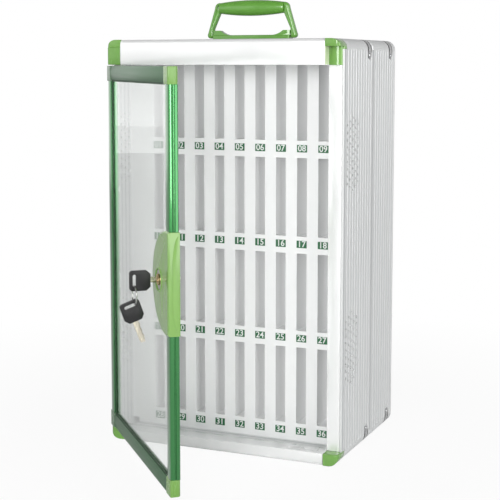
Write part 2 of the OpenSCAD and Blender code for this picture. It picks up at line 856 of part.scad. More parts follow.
// Room of radius r for the lock's body through the door
module barrel_room(r) {
    translate([lock_a, 0, lock_z]) rotate([90, 0, 0]) cylinder(r = r, h = 2 * far, center = true);
}

module door_hinge_stile() color("#3f7f3c") on_door() intersection() {
    stile();
    linear_extrude(case_h) mirror([1, 0]) translate([-corner_w, 0]) corner_rect(corner_w, door_t, hinge_r);
}

module door_lock_stile() color("#3f7f3c") on_door() difference() {
    door_lock_edge() stile();
    barrel_room(barrel_r + barrel_gap);
}

module door_top_rail() color("#7d907f") on_door() door_top_end() door_rail();

module door_bottom_rail() color("#7d907f") on_door() door_rail();

module corner_hinge_bottom() color("#75ac51") on_door() difference() {
    door_corner();
    door_pin_hole();
}

module corner_hinge_top() color("#75ac51") on_door() door_top_end() difference() {
    door_corner();
    door_pin_hole();
}

module corner_lock_bottom() color("#75ac51") on_door() door_lock_edge() door_corner();

module corner_lock_top() color("#75ac51") on_door() door_lock_edge() door_top_end() door_corner();

module door_pane() color("#dfe6e4", 0.35) on_door() difference() {
    translate([pane_in + pane_gap, pane_y, door_z0 + pane_in + pane_gap])
        cube([door_w - 2 * pane_in - 2 * pane_gap, pane_t, door_h - 2 * pane_in - 2 * pane_gap]);
    barrel_room(barrel_r + barrel_gap);
    translate([lock_a, 0, lock_z - barrel_r / 2]) cube([far, far, barrel_r]);
}

module glazing_bead() color("#2f4f33") on_door() difference() {
    pane_frame(frame_w, bead_w);
    outwards(0, far) housing_outline(0);
}

// A frame of width w on the glazing, inside a margin m from the door's edges
module pane_frame(m, w) {
    y0 = pane_y + pane_t + pane_gap;
    difference() {
        translate([m, y0, door_z0 + m]) cube([door_w - 2 * m, bead_t, door_h - 2 * m]);
        translate([m + w, y0 - 1, door_z0 + m + w])
            cube([door_w - 2 * m - 2 * w, bead_t + 2, door_h - 2 * m - 2 * w]);
        for (x = [0, door_w - corner_w], z = [door_z0, door_z1 - corner_w])
            translate([x, 0, z]) cube([corner_w, far, corner_w]);
    }
}

// ---- lock ----

// Half-moon outline of the lock housing in X and Z, wrapping the door's free edge
module housing_outline(grow) {
    intersection() {
        translate([door_w - housing_w + outline_arc, housing_z]) circle(r = outline_arc + grow, $fn = 120);
        translate([door_w - housing_w - grow, housing_z - housing_h])
            square([housing_w + wrap_t + grow, 2 * housing_h]);
    }
}

// Extrudes an outline drawn in the door's X and Z outwards from y0 to y1
module outwards(y0, y1) {
    translate([0, y1, 0]) rotate([90, 0, 0]) linear_extrude(y1 - y0) children();
}

// Section of the housing from the axis of its curved edge outwards
module housing_section() {
    translate([0, housing_top]) mirror([0, 1]) corner_rect(outline_arc, housing_top, housing_r);
}

module lock_housing() color("#9ccb74") on_door() difference() {
    union() {
        intersection() {
            translate([door_w - housing_w + outline_arc, 0, housing_z]) rotate([-90, 0, 0])
                rotate_extrude($fn = 120) housing_section();
            translate([0, 0, housing_z - housing_h]) linear_extrude(2 * housing_h)
                translate([0, housing_top]) mirror([0, 1])
                    corner_rect(door_w + wrap_t, housing_top, housing_r);
        }
        translate([lock_a, housing_top - 1, lock_z]) rotate([-90, 0, 0])
            cylinder(r1 = collar_r + 1, r2 = collar_r, h = collar_h + 1);
    }
    door_lock_edge() translate([0, 0, housing_z - housing_h])
        linear_extrude(2 * housing_h) moulding_outline();
    translate([door_w - housing_w - 1, -1, housing_z - housing_h])
        cube([housing_w - frame_w + 1 + eps, pane_y + pane_t + pane_gap + 1, 2 * housing_h]);
    barrel_room(barrel_r + barrel_play);
    translate([lock_a, lock_floor, lock_z]) rotate([-90, 0, 0]) {
        cylinder(r = dish_r, h = far);
        cylinder(r1 = dish_r, r2 = dish_r + dish_flare, h = dish_depth + collar_h + eps);
    }
}

// Stands a child on the lock's axis, its z outwards from the door's inner face
module on_lock() {
    on_door() translate([lock_a, 0, lock_z]) rotate([-90, 0, 0]) children();
}

module lock_barrel() color("#c9cdd0") on_lock() difference() {
    union() {
        translate([0, 0, -barrel_tail]) cylinder(r = barrel_r, h = lock_floor + barrel_tail);
        translate([0, 0, lock_floor]) cylinder(r = flange_r, h = flange_t);
    }
    translate([0, 0, -far]) cylinder(r = plug_r + plug_play, h = 2 * far);
}

module lock_nut() color("#b8bcc0") on_lock() difference() {
    translate([0, 0, -nut_t - nut_gap]) rotate(30) cylinder(r = nut_flats / 2 / cos(30), h = nut_t, $fn = 6);
    translate([0, 0, -far]) cylinder(r = barrel_r, h = 2 * far);
}

module lock_plug() color("#d9c07a") on_lock() difference() {
    union() {
        translate([0, 0, cam_y]) cylinder(r = plug_r, h = plug_face - cam_y);
        translate([0, 0, cam_y - stub_l]) cylinder(r = stub_r, h = stub_l + eps);
    }
    translate([-blade_t / 2 - blade_play, -blade_h / 2 - blade_play, plug_face - blade_in - blade_play])
        cube([blade_t + 2 * blade_play, blade_h + 2 * blade_play, far]);
    translate([0, 0, cam_y - far]) cylinder(r = screw_r, h = far + screw_in);
}

module lock_cam() color("#a9adb0") on_lock() translate([0, 0, cam_y - cam_t]) linear_extrude(cam_t)
    difference() {
        union() {
            circle(r = cam_boss_r);
            translate([-cam_w / 2, 0]) square([cam_w, cam_l - cam_w / 2]);
            translate([0, cam_l - cam_w / 2]) circle(r = cam_w / 2);
        }
        circle(r = stub_r);
    }

module cam_screw() color("#8f9396") on_lock() {
    translate([0, 0, cam_y - cam_t - screw_head_t]) cylinder(r = screw_head_r, h = screw_head_t);
    translate([0, 0, cam_y - cam_t - eps]) cylinder(r = screw_r, h = cam_t + screw_in + eps);
}

// ---- keys ----

// A key's head in the door's Y and Z, round its slot, from the blade's end outwards
module bow_outline() {
    difference() {
        intersection() {
            translate([-bow_l, -bow_h / 2]) round_rect(2 * bow_l, bow_h, bow_corner_r);
            polygon([[0, -bow_neck_h / 2], [bow_chamfer, -bow_h / 2], [bow_l, -bow_h / 2],
                [bow_l, bow_h / 2], [bow_chamfer, bow_h / 2], [0, bow_neck_h / 2]]);
        }
        for (z = [-1, 1]) translate([bow_slot_y - bow_y, z * (bow_slot_l - bow_slot_w) / 2])
            circle(d = bow_slot_w);
        translate([bow_slot_y - bow_y - bow_slot_w / 2, -(bow_slot_l - bow_slot_w) / 2])
            square([bow_slot_w, bow_slot_l - bow_slot_w]);
    }
}

// A key's blade, in the same place: from the lock to inside the head
module blade_outline(gap) {
    l = blade_in + blade_out;
    translate([-l, -blade_h / 2 - gap]) square([l + blade_in_bow + gap, blade_h + 2 * gap]);
}

// Stands a flat outline drawn in Y and Z as a plate of thickness t in the keys' plane
module key_plate(t) {
    on_door() translate([lock_a - t / 2, 0, 0]) rotate([90, 0, 90]) linear_extrude(t) children();
}

// Hangs an outline of a key in the ring, its blade downwards
module spare_place() {
    translate([ring_y, ring_top_z - 2 * ring_r]) rotate(spare_turn)
        translate([bow_y - bow_slot_y - hang_y, -hang_z]) children();
}

module key_blade() color("#c9cdd0") key_plate(blade_t) translate([bow_y, lock_z]) blade_outline(0);

module key_head() color("#232425") difference() {
    key_plate(bow_t) translate([bow_y, lock_z]) bow_outline();
    key_plate(blade_t) translate([bow_y, lock_z]) blade_outline(0);
}

module key_ring() color("#b8bcc0") on_door() translate([lock_a, ring_y, ring_z]) rotate([90, 0, 0])
    rotate_extrude() translate([ring_r, 0]) circle(r = wire_r, $fn = 24);

module spare_blade() color("#c9cdd0") key_plate(blade_t) spare_place() blade_outline(0);

module spare_head() color("#232425") difference() {
    key_plate(bow_t) spare_place() bow_outline();
    key_plate(blade_t) spare_place() blade_outline(0);
}

top_rail();
bottom_rail();
hinge_post();
lock_post();
cap_top_left();
cap_top_right();
cap_bottom_left();
cap_bottom_right();
edge_profiles_front();
edge_profiles_rear();
side_left_front();
side_left_rear();
side_right_front();
side_right_rear();
top_front();
top_rear();
bottom_front();
bottom_rear();
back_sheet();
corner_clips();
clip_rivets();
tray_brackets();
divider_channels();
slot_shelves();
header_lips();
number_labels();
hinge_block();
hinge_pins();
thrust_washer();
handle_base();
handle_pins();
handle_grip();
handle_legs();
door_hinge_stile();
door_lock_stile();
door_top_rail();
door_bottom_rail();
corner_hinge_top();
corner_hinge_bottom();
corner_lock_top();
corner_lock_bottom();
door_pane();
glazing_bead();
lock_housing();
lock_barrel();
lock_nut();
lock_plug();
lock_cam();
cam_screw();
key_blade();
key_head();
key_ring();
spare_blade();
spare_head();
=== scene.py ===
import json
import math
import bpy
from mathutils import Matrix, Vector


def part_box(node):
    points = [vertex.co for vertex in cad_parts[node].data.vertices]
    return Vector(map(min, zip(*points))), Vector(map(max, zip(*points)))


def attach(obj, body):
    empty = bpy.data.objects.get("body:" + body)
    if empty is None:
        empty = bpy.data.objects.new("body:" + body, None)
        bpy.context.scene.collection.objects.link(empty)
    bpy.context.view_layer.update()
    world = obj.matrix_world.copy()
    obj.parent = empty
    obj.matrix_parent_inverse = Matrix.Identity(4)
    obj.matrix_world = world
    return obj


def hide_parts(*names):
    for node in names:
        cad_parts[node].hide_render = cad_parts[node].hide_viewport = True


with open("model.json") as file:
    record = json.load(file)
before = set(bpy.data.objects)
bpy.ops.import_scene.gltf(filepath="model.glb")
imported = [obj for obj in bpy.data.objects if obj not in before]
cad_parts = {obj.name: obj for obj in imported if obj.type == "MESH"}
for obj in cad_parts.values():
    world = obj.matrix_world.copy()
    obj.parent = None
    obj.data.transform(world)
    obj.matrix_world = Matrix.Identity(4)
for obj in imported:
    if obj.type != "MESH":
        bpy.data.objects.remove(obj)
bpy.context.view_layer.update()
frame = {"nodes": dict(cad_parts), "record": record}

nodes = frame["nodes"]
slotOfNode = {entry["node"]: entry["material_slot"] for entry in frame["record"]["subparts"]}
bodyOfNode = {member: body for body, members in frame["record"]["behaviour"]["bodies"].items()
              for member in members}


def deselectAll():
    if bpy.context.object and bpy.context.object.mode != "OBJECT":
        bpy.ops.object.mode_set(mode="OBJECT")
    bpy.ops.object.select_all(action="DESELECT")


# the camera stands where the photograph was taken from; places in metres, turns in degrees
view = {"place": (0.5553, -1.2955, 0.4193), "turn": 23.39, "down": 6.21, "lens": 90.27, "sensor": 36,
        "rise": -0.1, "farthest": 20}

bpy.ops.object.camera_add(location=view["place"],
                          rotation=(math.radians(90 - view["down"]), 0, math.radians(view["turn"])))
viewCamera = bpy.context.object
viewCamera.data.lens = view["lens"]
viewCamera.data.sensor_width = view["sensor"]
viewCamera.data.shift_y = view["rise"]
viewCamera.data.clip_end = view["farthest"]
bpy.context.scene.camera = viewCamera
print("camera placed")


# a socket that takes part in sums
class Value:
    def __init__(self, finish, socket):
        self.finish = finish
        self.socket = socket

    def sum(self, operation, *terms):
        return self.finish.node("ShaderNodeMath", {"operation": operation}, dict(enumerate(terms)))

    def __add__(self, other):
        return self.sum("ADD", self, other)

    def __mul__(self, other):
        return self.sum("MULTIPLY", self, other)

    __radd__ = __add__
    __rmul__ = __mul__

    def __sub__(self, other):
        return self.sum("SUBTRACT", self, other)

    def __rsub__(self, other):
        return self.sum("SUBTRACT", other, self)


# how deep every fine texture is, in metres
grainDepth = 0.0002


# one finish of the case: a material and the ways to add nodes to it
class Finish:
    def __init__(self, name, **fixed):
        self.material = bpy.data.materials.new(name)
        self.material.use_nodes = True
        self.tree = self.material.node_tree
        self.shader = self.tree.nodes["Principled BSDF"]
        for key, value in fixed.items():
            self.shader.inputs[key.replace("_", " ")].default_value = value

    def node(self, kind, settings=None, inputs=None, out=0):
        made = self.tree.nodes.new(kind)
        for key, value in (settings or {}).items():
            setattr(made, key, value)
        for key, value in (inputs or {}).items():
            if isinstance(value, Value):
                self.tree.links.new(value.socket, made.inputs[key])
            else:
                made.inputs[key].default_value = value
        return Value(self, made.outputs[out])

    def feed(self, key, value):
        self.tree.links.new(value.socket, self.shader.inputs[key])

    # a share of plain light over what the shader gives
    def glow(self, share):
        light = self.node("ShaderNodeEmission", None, {"Color": (1, 1, 1, 1)})
        blend = self.node("ShaderNodeMixShader", None, {0: share, 2: light})
        self.tree.links.new(self.shader.outputs[0], blend.socket.node.inputs[1])
        surface = next(node for node in self.tree.nodes if node.type.startswith("OUTPUT"))
        self.tree.links.new(blend.socket, surface.inputs["Surface"])

    # 1 for what the camera sees, straight or through the pane
    def seen(self):
        path = self.node("ShaderNodeLightPath").socket.node
        straight = Value(self, path.outputs["Is Camera Ray"])
        through = Value(self, path.outputs["Is Transmission Ray"])
        return straight.sum("MAXIMUM", straight, through)

    def place(self, stretch=(1, 1, 1)):
        spot = self.node("ShaderNodeTexCoord", out="Object")
        return self.node("ShaderNodeMapping", None, {"Vector": spot, "Scale": stretch})

    def along(self, axis):
        return self.node("ShaderNodeSeparateXYZ", None, {"Vector": self.place()}, out=axis)

    def noise(self, scale, stretch=(1, 1, 1), detail=4, rough=0.5):
        return self.node("ShaderNodeTexNoise", None, {"Vector": self.place(stretch), "Scale": scale,
                                                     "Detail": detail, "Roughness": rough})

    def between(self, low, high, value, lowest=0.3, highest=0.7):
        return self.node("ShaderNodeMapRange", None, {"Value": value, 1: lowest, 2: highest, 3: low, 4: high})

    def mix(self, share, first, second):
        first, second = (shade if isinstance(shade, Value) else (*shade, 1) for shade in (first, second))
        return self.node("ShaderNodeMix", {"data_type": "RGBA"}, {0: share, 6: first, 7: second}, out=2)

    def colours(self, value, first, second, lowest=0.3, highest=0.7):
        return self.mix(self.between(0, 1, value, lowest, highest), first, second)

    def bump(self, height, strength):
        self.feed("Normal", self.node("ShaderNodeBump", None, {"Height": height, "Strength": strength,
                                                              "Distance": grainDepth}))


# powder-coated sheet and rails: a fine orange peel and a slight unevenness of tone
coating = {"clouds": {"scale": 14, "detail": 3}, "peel": {"scale": 900, "detail": 2}, "strength": 0.12,
           "smoother": 0.05, "rougher": 0.07, "specular": 0.45}


def coatedFinish(name, shade, darker, roughness, **fixed):
    paint = Finish(name, Specular_IOR_Level=coating["specular"], **fixed)
    cloud = paint.noise(**coating["clouds"])
    paint.feed("Base Color", paint.colours(cloud, darker, shade))
    paint.feed("Roughness", paint.between(roughness - coating["smoother"], roughness + coating["rougher"],
                                          cloud))
    paint.bump(paint.noise(**coating["peel"]), coating["strength"])
    return paint


def coatedPaint(name, shade, darker, roughness, metallic=0.0):
    return coatedFinish(name, shade, darker, roughness, Metallic=metallic).material


# the tray's paint glows a little deep in the slots, painted light that rises between these places from front
# to back
paintedSlotGlow = {"strength": 0.2, "from": -0.037, "to": 0.03}


def trayPaintAndSlotGlow(name, shade, darker, roughness):
    paint = coatedFinish(name, shade, darker, roughness, Emission_Strength=paintedSlotGlow["strength"])
    # the emission is painted light in the slots: none at the front, full at the back
    paint.feed("Emission Color", paint.colours(paint.along(1), (0, 0, 0), (1, 1, 1), paintedSlotGlow["from"],
                                               paintedSlotGlow["to"]))
    return paint.material


# drawn aluminium: fine lines along one axis, with faint broader bands
drawing = {"lines": {"scale": 260, "detail": 5, "rough": 0.65}, "bands": {"scale": 26, "detail": 2},
           "lineShare": 0.7, "contrast": (0.35, 0.65), "strength": 0.1, "smoother": 0.06, "rougher": 0.09,
           "coatRoughness": 0.07}


def drawnLines(metal, stretch):
    lines = metal.noise(stretch=stretch, **drawing["lines"])
    metal.bump(lines, drawing["strength"])
    return lines


def drawnMetal(name, shade, darker, roughness, metallic, stretch=(1, 1, 1), coat=0.0):
    metal = Finish(name, Metallic=metallic, Coat_Weight=coat, Coat_Roughness=drawing["coatRoughness"])
    bands = metal.noise(stretch=stretch, **drawing["bands"])
    tone = drawnLines(metal, stretch) * drawing["lineShare"] + bands * (1 - drawing["lineShare"])
    metal.feed("Base Color", metal.colours(tone, darker, shade, *drawing["contrast"]))
    metal.feed("Roughness", metal.between(roughness - drawing["smoother"], roughness + drawing["rougher"],
                                          tone))
    return metal.material


# the fluted panels: drawn metal with painted shade, darker lines down the middle of the flutes, which are
# counted from well ahead of the first one, so that no count falls below nought
flutes = {"first": -0.0704, "pitch": 0.0084, "ahead": 100, "core": 0.0003, "half": 0.0017, "metallic": 0.3,
          "stretch": (1, 1, 0.02), "roughness": (0.34, 0.48)}


def flutedMetalAndGrooveShade(name, shade, darker, groove):
    metal = Finish(name, Metallic=flutes["metallic"])
    lines = drawnLines(metal, flutes["stretch"])
    turns = (metal.along(1) - flutes["first"]) * (1 / flutes["pitch"]) + (flutes["ahead"] + 0.5)
    off = turns.sum("ABSOLUTE", turns.sum("FRACT", turns) - 0.5) * flutes["pitch"]
    skin = metal.colours(lines, darker, shade, *drawing["contrast"])
    # depth is the share of painted shade: full at a flute's middle, none past its half width
    depth = metal.between(0, 1, off, flutes["core"], flutes["half"])
    metal.feed("Base Color", metal.mix(depth, groove, skin))
    metal.feed("Roughness", metal.between(*flutes["roughness"], lines))
    return metal.material


# the corner clips: bright steel with painted shade along its edges, on both sides of each clip's middle
clips = {"middles": (0.001, 0.0765), "flat": 0.0024, "edge": 0.0044, "stretch": (1, 0.05, 1),
         "roughness": (0.14, 0.26)}


def pressedSteelShadedEdges(name, shade, darker, edge):
    steel = Finish(name, Metallic=1.0)
    lines = drawnLines(steel, clips["stretch"])
    y = steel.along(1)
    offs = [y.sum("ABSOLUTE", y - middle) for middle in clips["middles"]]
    skin = steel.colours(lines, darker, shade, *drawing["contrast"])
    rim = steel.between(0, 1, y.sum("MINIMUM", *offs), clips["flat"], clips["edge"])
    # rim is the share of painted shade, full towards the clip's edges
    steel.feed("Base Color", steel.mix(rim, skin, edge))
    steel.feed("Roughness", steel.between(*clips["roughness"], lines))
    return steel.material


# moulded plastic: a faint texture and scuffs that break the gloss
moulding = {"clouds": {"scale": 30},
            "scuffs": {"scale": 220, "stretch": (1, 1, 0.25), "detail": 6, "rough": 0.7},
            "texture": {"scale": 1500, "detail": 1}, "rougher": 0.14, "wear": (0.45, 0.75),
            "coatRoughness": 0.12, "ior": 1.48}


def mouldedPlastic(name, shade, darker, roughness, coat=0.0, grain=0.06):
    plastic = Finish(name, Coat_Weight=coat, Coat_Roughness=moulding["coatRoughness"], IOR=moulding["ior"])
    plastic.feed("Base Color", plastic.colours(plastic.noise(**moulding["clouds"]), darker, shade))
    scuffs = plastic.noise(**moulding["scuffs"])
    plastic.feed("Roughness", plastic.between(roughness, roughness + moulding["rougher"], scuffs,
                                              *moulding["wear"]))
    plastic.bump(plastic.noise(**moulding["texture"]), grain)
    return plastic.material


# each finish: its lighter and darker tone and its roughness, then how metallic it is
paints = {
    "rail_white": coatedPaint("railPaint", (0.93, 0.935, 0.935), (0.91, 0.915, 0.915), 0.22, 0.32),
    "tray_white": trayPaintAndSlotGlow("trayPaintAndSlotGlow", (0.88, 0.885, 0.885), (0.86, 0.865, 0.865), 0.42),
    "back_grey": coatedPaint("backPaint", (0.66, 0.68, 0.69), (0.62, 0.64, 0.65), 0.45),
    "panel_silver": drawnMetal("panelMetal", (0.74, 0.75, 0.75), (0.68, 0.69, 0.69), 0.40, 0.3, (1, 1, 0.02)),
    # the clips' third tone is the painted shade along their edges
    "clip_steel": pressedSteelShadedEdges("clipMetal", (0.78, 0.79, 0.79), (0.50, 0.51, 0.52), (0.10, 0.10, 0.105)),
    "pin_steel": drawnMetal("pinMetal", (0.58, 0.58, 0.57), (0.42, 0.42, 0.42), 0.25, 0.95, (1, 1, 0.05)),
    "cap_green": mouldedPlastic("capPlastic", (0.165, 0.365, 0.07), (0.145, 0.335, 0.062), 0.16, coat=0.7),
    "hinge_green": mouldedPlastic("hingePlastic", (0.155, 0.35, 0.067), (0.138, 0.32, 0.06), 0.2, coat=0.5),
    "corner_green": mouldedPlastic("cornerPlastic", (0.175, 0.355, 0.072), (0.155, 0.325, 0.064), 0.22,
                                   coat=0.4),
    "lock_green": mouldedPlastic("lockPlastic", (0.205, 0.395, 0.094), (0.192, 0.375, 0.086), 0.15,
                                 coat=0.8, grain=0.02),
    "handle_green": mouldedPlastic("handlePlastic", (0.13, 0.36, 0.045), (0.115, 0.33, 0.04), 0.14,
                                   coat=1.0, grain=0.02),
    "door_green": drawnMetal("doorMetal", (0.045, 0.26, 0.07), (0.036, 0.225, 0.058), 0.17, 0.75,
                             (1, 1, 0.02), coat=1.0),
    "label_green": mouldedPlastic("labelPrint", (0.027, 0.145, 0.06), (0.022, 0.125, 0.05), 0.5, grain=0.02),
    "bead_dark": mouldedPlastic("beadRubber", (0.03, 0.075, 0.035), (0.02, 0.055, 0.025), 0.55),
    "washer_white": mouldedPlastic("washerPlastic", (0.72, 0.72, 0.68), (0.66, 0.66, 0.62), 0.4),
    "lock_chrome": drawnMetal("lockChrome", (0.62, 0.60, 0.55), (0.50, 0.48, 0.44), 0.16, 1.0),
    "plug_brass": drawnMetal("plugBrass", (0.60, 0.47, 0.24), (0.45, 0.34, 0.16), 0.2, 1.0),
    "key_black": mouldedPlastic("keyPlastic", (0.014, 0.014, 0.015), (0.009, 0.009, 0.010), 0.36, grain=0.2),
}
# the last tone is the painted shade in the flutes
fluted = flutedMetalAndGrooveShade("flutedMetalAndGrooveShade", (0.74, 0.75, 0.75), (0.69, 0.70, 0.70), (0.46, 0.48, 0.49))
# the door's rails are the door's green made greyer: a painted reflection of the pale surroundings
doorRailReflectedMetal = drawnMetal("doorRailPaintedReflection", (0.088, 0.195, 0.10), (0.07, 0.16, 0.082), 0.32, 0.6, (0.02, 0.02, 1))
keyMetal = drawnMetal("keyMetal", (0.80, 0.76, 0.64), (0.50, 0.46, 0.36), 0.16, 1.0, (1, 1, 0.2))
# the hinge-side corners are the corner plastic made darker and greyer: painted shade and reflection
shadedHingeCorner = mouldedPlastic("hingeCornerPaintedShade", (0.13, 0.22, 0.135), (0.11, 0.19, 0.115), 0.3, coat=0.3)
# the bottom rail has the rail paint made darker: painted shade
shadedBottomRailPaint = coatedPaint("bottomRailPaint", (0.80, 0.805, 0.805), (0.77, 0.775, 0.775), 0.22, 0.32)

# the nodes whose finish differs from that of their slot, among them rails and corners with painted shade and
# reflection
ownPaint = {"bottom_rail": shadedBottomRailPaint, "door_top_rail": doorRailReflectedMetal, "door_bottom_rail": doorRailReflectedMetal,
            "key_blade": keyMetal, "spare_blade": keyMetal,
            "corner_hinge_top": shadedHingeCorner, "corner_hinge_bottom": shadedHingeCorner}
ownPaint.update({name: fluted for name in nodes
                 if name.startswith(("side_", "top_front", "top_rear", "bottom_front", "bottom_rear"))})

# the pane: clear glass with a faint haze
pane = {"tint": (0.975, 0.99, 0.98), "ior": 1.45, "haze": {"scale": 9, "detail": 3}, "roughness": (0.0, 0.04)}

glass = Finish("paneGlass", Transmission_Weight=1.0, IOR=pane["ior"], Base_Color=(*pane["tint"], 1))
glass.feed("Roughness", glass.between(*pane["roughness"], glass.noise(**pane["haze"])))
paints["glazing"] = glass.material

for name, slot in slotOfNode.items():
    skin = nodes[name].data.materials
    skin.clear()
    skin.append(ownPaint.get(name, paints[slot]))
print("finishes made")


def pick(piece):
    deselectAll()
    piece.select_set(True)
    bpy.context.view_layer.objects.active = piece


def applyAll(piece):
    pick(piece)
    for step in list(piece.modifiers):
        bpy.ops.object.modifier_apply(modifier=step.name)


def placeInMesh(piece):
    pick(piece)
    bpy.ops.object.transform_apply(location=True, rotation=True, scale=True)


# the open door, in metres: its turning axis, the corner of its hinge edge, its width, and how far out the
# outer edge of its lock stile is
door = {"pivot": (-0.1315, -0.085), "corner": (-0.135, -0.0815), "open": 48, "width": 0.2595,
        "stileOut": 0.009}


# a place on the open door: along it from the hinge edge, out from its inner face, and up
def doorPoint(along, out, up):
    turn = -math.radians(door["open"])
    x = door["corner"][0] + along - door["pivot"][0]
    y = door["corner"][1] - out - door["pivot"][1]
    return Vector((door["pivot"][0] + math.cos(turn) * x - math.sin(turn) * y,
                   door["pivot"][1] + math.sin(turn) * x + math.cos(turn) * y, up))


# leaves a piece in edit mode with the corners, edges or faces that a test picks
def selectIn(piece, kind, wanted):
    bpy.ops.object.mode_set(mode="EDIT")
    bpy.ops.mesh.select_mode(type=kind)
    bpy.ops.mesh.select_all(action="DESELECT")
    bpy.ops.object.mode_set(mode="OBJECT")
    mesh = piece.data
    for part in {"VERT": mesh.vertices, "EDGE": mesh.edges, "FACE": mesh.polygons}[kind]:
        part.select = wanted(part)
    bpy.ops.object.mode_set(mode="EDIT")


# the same for edges, picked by where their two ends are
def selectEdges(piece, wanted):
    selectIn(piece, "EDGE", lambda edge: wanted(*(piece.data.vertices[end].co for end in edge.vertices)))


# how near an edge is to the place that picks it, and how tall an upright one is at least, in metres
edgePick = {"beside": 0.0012, "tall": 0.01, "level": 0.00002}


# the long upright edges of the door at one distance along it and out from its inner face
def uprightAt(along, out):
    spot = doorPoint(along, out, 0)

    def wanted(low, high):
        near = all(math.hypot(end.x - spot.x, end.y - spot.y) < edgePick["beside"] for end in (low, high))
        return near and abs(low.z - high.z) > edgePick["tall"]
    return wanted


# the outline of the faces at one place from front to back
def outlineAt(y):
    return lambda low, high: all(abs(end.y - y) < edgePick["level"] for end in (low, high))


# a key's blade: the depths of its notches from head to tip, how far each of its narrow sides moves in,
# and the groove in its two flat sides
blade = {"notches": (0.0006, 0.0, 0.001, 0.0003, 0.0013, 0.0006, 0.0014, 0.0002, 0.0011, 0.0016),
         "narrower": 0.0007, "longEdge": 0.02, "outer": 0.8, "rootCorners": 8, "flatSides": 2,
         "grooveRim": 0.0022, "grooveDepth": 0.0006}


# sinks the two flat sides of a blade inside a rim
def grooveBlade(piece):
    largest = sorted(piece.data.polygons, key=lambda face: -face.area)[:blade["flatSides"]]
    flatSides = {face.index for face in largest}
    selectIn(piece, "FACE", lambda face: face.index in flatSides)
    bpy.ops.mesh.inset(thickness=blade["grooveRim"], depth=-blade["grooveDepth"], use_even_offset=True,
                       use_individual=True)
    bpy.ops.object.mode_set(mode="OBJECT")


# notches one narrow side of a blade; its tip, and its root inside the head, are narrowed from both sides
def notchBlade(piece, head):
    notches = blade["notches"]
    selectEdges(piece, lambda low, high: (low - high).length > blade["longEdge"])
    bpy.ops.mesh.subdivide(number_cuts=len(notches) - 1)
    bpy.ops.object.mode_set(mode="OBJECT")
    corners = piece.data.vertices
    middle = sum((corner.co for corner in corners), Vector()) / len(corners)
    nearest = sorted(corners, key=lambda corner: (corner.co - head).length)[:blade["rootCorners"]]
    root = sum((corner.co for corner in nearest), Vector()) / len(nearest)
    axis = (middle - root).normalized()
    length = 2 * (middle - root).length
    across = [corner.co - middle - axis * (corner.co - middle).dot(axis) for corner in corners]
    widest = max(across, key=lambda off: off.length)
    side = widest.normalized()
    for corner in corners:
        off = (corner.co - middle).dot(side) / widest.length
        station = min(int((corner.co - root).dot(axis) / length * len(notches) + 0.5), len(notches))
        cut = notches[station - 1]
        if off > blade["outer"]:
            corner.co -= side * (cut + blade["narrower"])
        elif off < -blade["outer"]:
            corner.co += side * (cut if station in (0, len(notches)) else blade["narrower"])


# how far the edges of each piece are broken, as a moulding or a saw cut leaves them, in metres
easing = {
    "top_rail": 0.0005, "bottom_rail": 0.0005, "hinge_post": 0.0004, "lock_post": 0.0004,
    "cap_top_left": 0.0014, "cap_top_right": 0.0014, "cap_bottom_left": 0.0014, "cap_bottom_right": 0.0014,
    "hinge_block": 0.0006, "handle_base": 0.0006, "corner_clips": 0.0002, "clip_rivets": 0.0002,
    "door_hinge_stile": 0.0004, "door_lock_stile": 0.0004, "door_top_rail": 0.0004,
    "door_bottom_rail": 0.0004, "corner_hinge_top": 0.0007, "corner_hinge_bottom": 0.0007,
    "corner_lock_top": 0.0007, "corner_lock_bottom": 0.0007, "lock_housing": 0.0007, "lock_barrel": 0.0003,
    "lock_nut": 0.0003, "lock_cam": 0.0002, "lock_plug": 0.0002, "key_head": 0.0006, "spare_head": 0.0006,
    "key_blade": 0.0002, "spare_blade": 0.0002, "handle_grip": 0.0004, "handle_legs": 0.0003,
    "number_labels": 0.0001,
}

# rounder edges: which ones, their radius and its steps
legFront, legBack = (corner[1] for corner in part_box("handle_legs"))
rounder = {
    "handle_base": ((outlineAt(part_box("handle_base")[0][1]), 0.0013, 4),),
    "handle_legs": ((outlineAt(legFront), 0.0021, 5), (outlineAt(legBack), 0.0021, 5)),
    "door_lock_stile": ((uprightAt(door["width"], door["stileOut"]), 0.004, 9),
                        (uprightAt(door["width"], 0), 0.0022, 7)),
}
headOfBlade = {"key_blade": "key_head", "spare_blade": "spare_head"}

# how a solid's copy is merged, its flats joined and its edges found and shaded, in metres and degrees
working = {"merge": 0.000002, "flat": 0.6, "steps": 3, "sharp": 28, "smooth": 32}


# a worked copy of a solid, named after its node
def easedPiece(nodeName):
    first, *others = nodeName.split("_")
    piece = bpy.data.objects.new(first + "".join(word.capitalize() for word in others),
                                 nodes[nodeName].data.copy())
    bpy.context.scene.collection.objects.link(piece)
    pick(piece)
    bpy.ops.object.mode_set(mode="EDIT")
    bpy.ops.mesh.select_all(action="SELECT")
    bpy.ops.mesh.remove_doubles(threshold=working["merge"])
    bpy.ops.mesh.dissolve_limited(angle_limit=math.radians(working["flat"]))
    for wanted, radius, steps in rounder.get(nodeName, ()):
        selectEdges(piece, wanted)
        bpy.ops.mesh.bevel(offset=radius, segments=steps, clamp_overlap=False)
    bpy.ops.object.mode_set(mode="OBJECT")
    if nodeName in headOfBlade:
        grooveBlade(piece)
        low, high = (Vector(corner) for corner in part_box(headOfBlade[nodeName]))
        notchBlade(piece, (low + high) / 2)
    ease = piece.modifiers.new("ease", "BEVEL")
    ease.width = easing[nodeName]
    ease.segments = working["steps"]
    ease.limit_method = "ANGLE"
    ease.angle_limit = math.radians(working["sharp"])
    ease.use_clamp_overlap = True
    applyAll(piece)
    bpy.ops.object.shade_smooth_by_angle(angle=math.radians(working["smooth"]))
    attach(piece, bodyOfNode[nodeName])
    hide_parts(nodeName)


